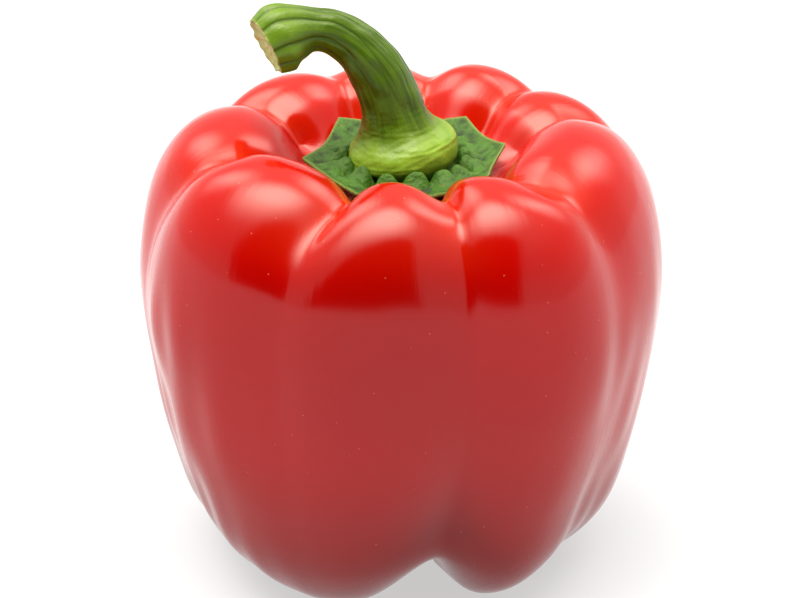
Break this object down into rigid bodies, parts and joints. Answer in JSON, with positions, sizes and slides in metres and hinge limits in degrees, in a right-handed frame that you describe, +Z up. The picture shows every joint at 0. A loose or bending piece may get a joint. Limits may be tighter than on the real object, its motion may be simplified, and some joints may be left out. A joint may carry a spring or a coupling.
{
  "type": "bell pepper",
  "caption": "Blocky sweet pepper with rounded lobes, a leafy calyx in the top hollow and a thick hooked stem; it stands on the feet of its lobes.",
  "frame": {"origin": "on the ground plane under the middle of the fruit, where the lobes' feet rest", "axes": "+Z up along the fruit towards the stem, -X towards the hooked stem's cut end, -Y towards the front"},
  "size_m": [0.0946, 0.093, 0.1071],
  "materials": {
    "fruit_skin": "waxy glossy red skin",
    "calyx_leaf": "dull crinkled dark green leaf",
    "stem_green": "satin ribbed green stalk, paler at the cut end"
  },
  "bodies": {
    "root": {"fruit": "fruit_skin", "calyx": "calyx_leaf", "stem": "stem_green"}
  },
  "joints": []
}
